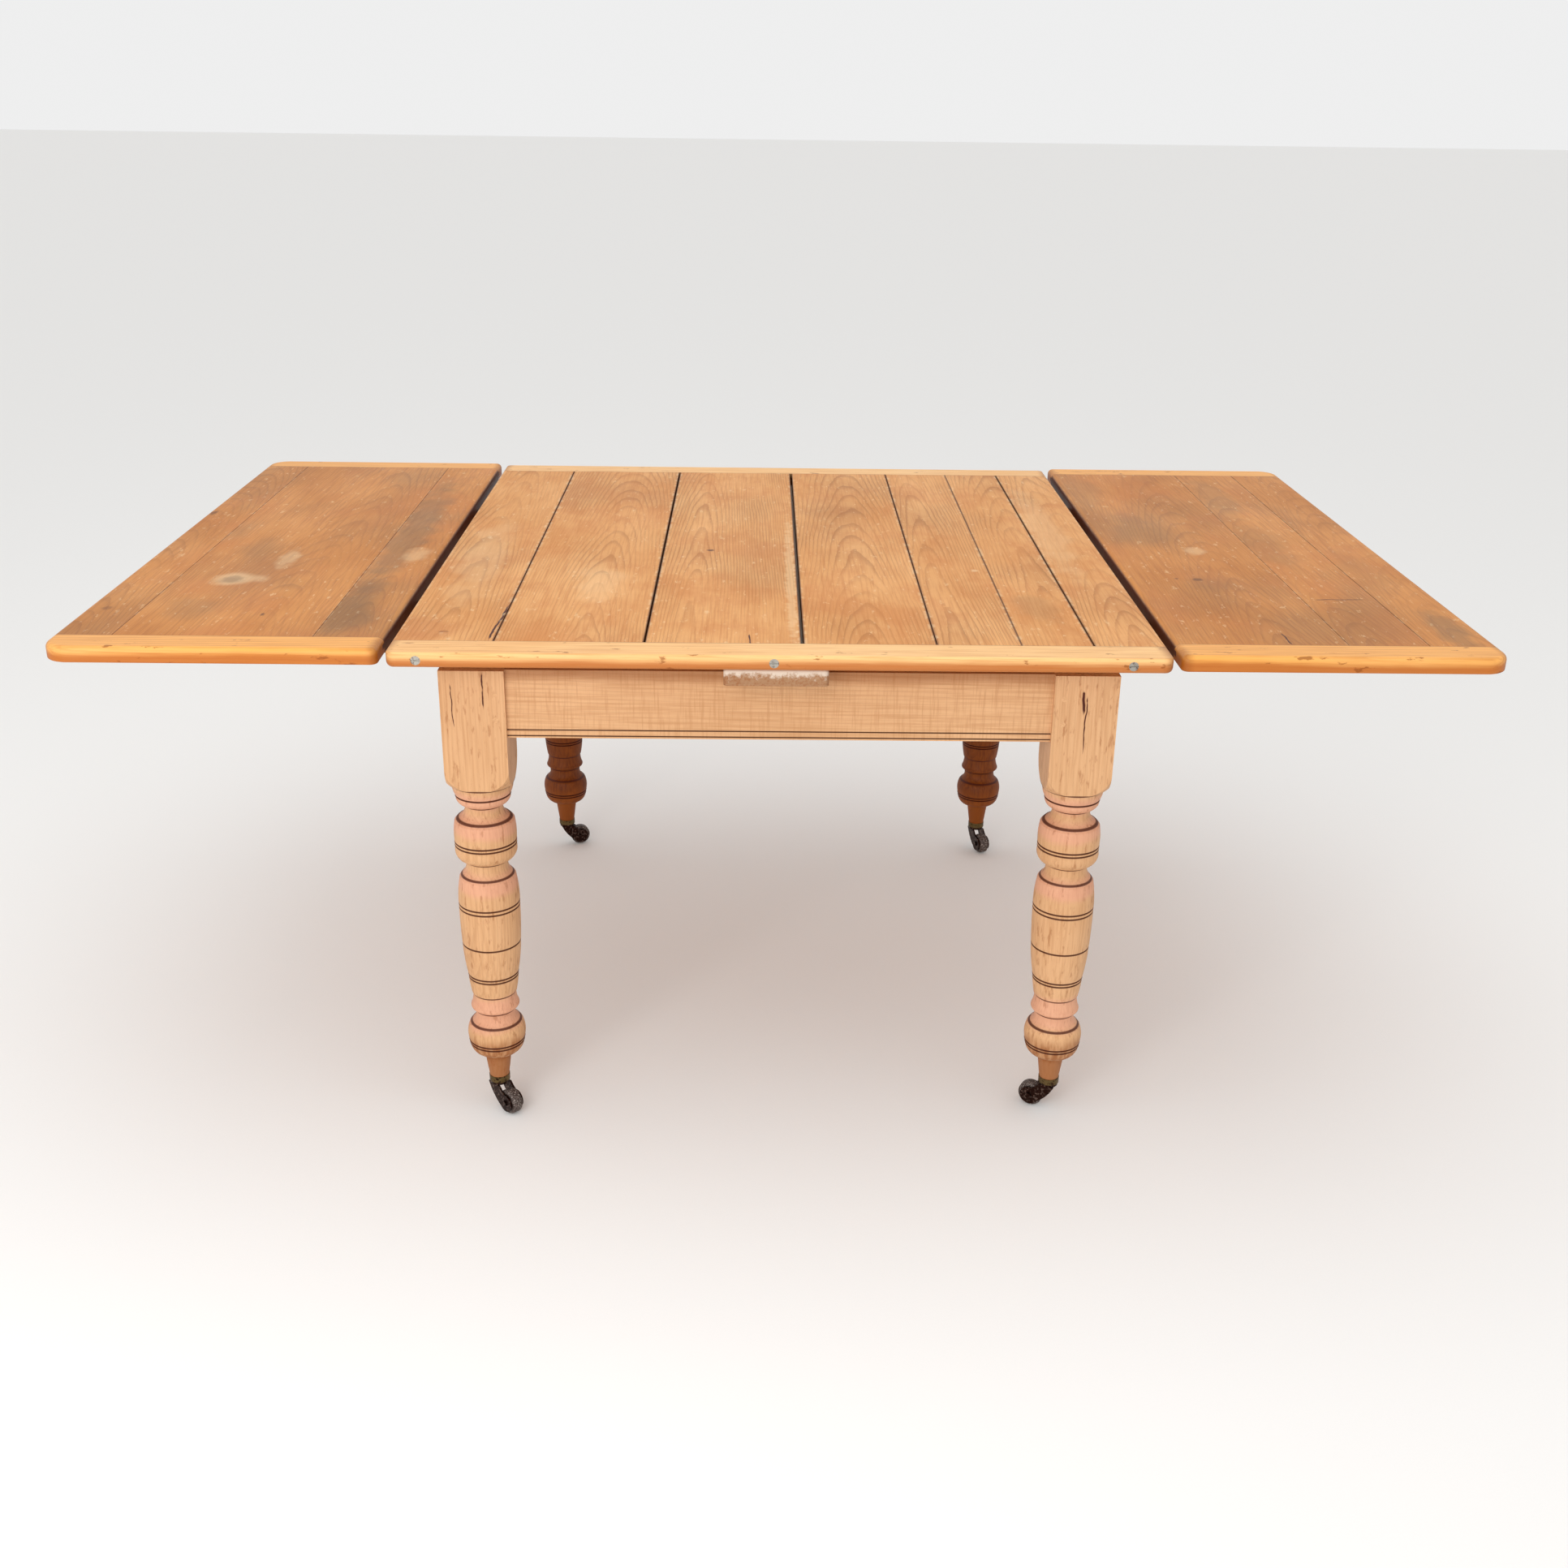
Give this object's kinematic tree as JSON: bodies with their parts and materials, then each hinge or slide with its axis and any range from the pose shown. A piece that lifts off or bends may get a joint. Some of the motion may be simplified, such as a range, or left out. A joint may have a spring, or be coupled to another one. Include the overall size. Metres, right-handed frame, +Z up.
{
  "type": "draw-leaf dining table",
  "caption": "Extending dining table with a loose main top of pine boards, sliding draw leaves at both ends, turned legs and swivelling castors.",
  "frame": {"origin": "middle of the table's footprint, on the floor under the castors", "axes": "+X along the length towards the right leaf, +Y towards the back, +Z up"},
  "size_m": [1.942, 1.17, 0.764],
  "materials": {
    "top_pine": "scrubbed pale honey pine boards, waxed",
    "leaf_pine": "darker orange-brown pine, waxed, stained in places",
    "clamp_pine": "pale yellow pine with worn edges",
    "frame_pine": "stripped pale pine, dry",
    "dark_pine": "older brown pine with remains of varnish",
    "bearer_pine": "grey-brown worn softwood",
    "screw_steel": "worn bright steel",
    "castor_iron": "dark brown-black iron",
    "collar_brass": "tarnished brass",
    "wheel_china": "worn grey wheel"
  },
  "bodies": {
    "frame": {"leg_front_left": "frame_pine", "leg_front_right": "frame_pine", "leg_back_left": "dark_pine", "leg_back_right": "dark_pine", "apron_front": "frame_pine", "apron_back": "dark_pine", "apron_left": "frame_pine", "apron_right": "frame_pine", "draw_pegs": "frame_pine", "guide_rail_left": "dark_pine", "guide_rail_right": "dark_pine", "centre_bearer": "bearer_pine", "bearer_screws": "screw_steel", "castor_collars": "collar_brass"},
    "main_top": {"top_board_1": "top_pine", "top_board_2": "top_pine", "top_board_3": "top_pine", "top_board_4": "top_pine", "top_board_5": "top_pine", "top_board_6": "top_pine", "top_board_7": "top_pine", "top_clamp_front": "clamp_pine", "top_clamp_back": "clamp_pine", "clamp_screws": "screw_steel", "edge_screws": "screw_steel", "guide_pegs": "bearer_pine"},
    "left_leaf": {"left_leaf_board_1": "leaf_pine", "left_leaf_board_2": "leaf_pine", "left_leaf_board_3": "leaf_pine", "left_leaf_clamp_front": "clamp_pine", "left_leaf_clamp_back": "clamp_pine", "left_runner_front": "dark_pine", "left_runner_back": "dark_pine", "left_stop_pegs": "dark_pine", "left_leaf_screws": "screw_steel"},
    "right_leaf": {"right_leaf_board_1": "leaf_pine", "right_leaf_board_2": "leaf_pine", "right_leaf_board_3": "leaf_pine", "right_leaf_clamp_front": "clamp_pine", "right_leaf_clamp_back": "clamp_pine", "right_runner_front": "dark_pine", "right_runner_back": "dark_pine", "right_stop_pegs": "dark_pine", "right_leaf_screws": "screw_steel"},
    "castor_front_left": {"castor_fork_front_left": "castor_iron", "castor_axle_front_left": "castor_iron"},
    "wheel_front_left": {"castor_wheel_front_left": "wheel_china"},
    "castor_front_right": {"castor_fork_front_right": "castor_iron", "castor_axle_front_right": "castor_iron"},
    "wheel_front_right": {"castor_wheel_front_right": "wheel_china"},
    "castor_back_right": {"castor_fork_back_right": "castor_iron", "castor_axle_back_right": "castor_iron"},
    "wheel_back_right": {"castor_wheel_back_right": "wheel_china"},
    "castor_back_left": {"castor_fork_back_left": "castor_iron", "castor_axle_back_left": "castor_iron"},
    "wheel_back_left": {"castor_wheel_back_left": "wheel_china"}
  },
  "joints": [
    {"name": "top_lift", "type": "slide", "parent": "frame", "child": "main_top", "axis": [0, 0, 1], "range_m": [0, 0.65]},
    {"name": "left_leaf_draw", "type": "slide", "parent": "frame", "child": "left_leaf", "axis": [0.9983, 0, -0.0576], "range_m": [0, 0.45175]},
    {"name": "right_leaf_draw", "type": "slide", "parent": "frame", "child": "right_leaf", "axis": [-0.9983, 0, -0.0576], "range_m": [0, 0.45175]},
    {"name": "castor_swivel_front_left", "type": "hinge", "parent": "frame", "child": "castor_front_left", "pos_m": [-0.419, -0.4825, 0.047], "axis": [0, 0, 1], "continuous": true},
    {"name": "wheel_spin_front_left", "type": "hinge", "parent": "castor_front_left", "child": "wheel_front_left", "pos_m": [-0.40061, -0.50089, 0.019], "axis": [0.7071, 0.7071, 0], "continuous": true},
    {"name": "castor_swivel_front_right", "type": "hinge", "parent": "frame", "child": "castor_front_right", "pos_m": [0.419, -0.4825, 0.047], "axis": [0, 0, 1], "continuous": true},
    {"name": "wheel_spin_front_right", "type": "hinge", "parent": "castor_front_right", "child": "wheel_front_right", "pos_m": [0.39648, -0.4695, 0.019], "axis": [-0.5, -0.866, 0], "continuous": true},
    {"name": "castor_swivel_back_right", "type": "hinge", "parent": "frame", "child": "castor_back_right", "pos_m": [0.419, 0.4825, 0.047], "axis": [0, 0, 1], "continuous": true},
    {"name": "wheel_spin_back_right", "type": "hinge", "parent": "castor_back_right", "child": "wheel_back_right", "pos_m": [0.42789, 0.45807, 0.019], "axis": [0.9397, 0.342, 0], "continuous": true},
    {"name": "castor_swivel_back_left", "type": "hinge", "parent": "frame", "child": "castor_back_left", "pos_m": [-0.419, 0.4825, 0.047], "axis": [0, 0, 1], "continuous": true},
    {"name": "wheel_spin_back_left", "type": "hinge", "parent": "castor_back_left", "child": "wheel_back_left", "pos_m": [-0.39457, 0.49139, 0.019], "axis": [-0.342, 0.9397, 0], "continuous": true}
  ],
  "couplings": [
    {"joint": "left_leaf_draw", "follows": "top_lift", "ratio": 0.695},
    {"joint": "right_leaf_draw", "follows": "top_lift", "ratio": 0.695}
  ]
}
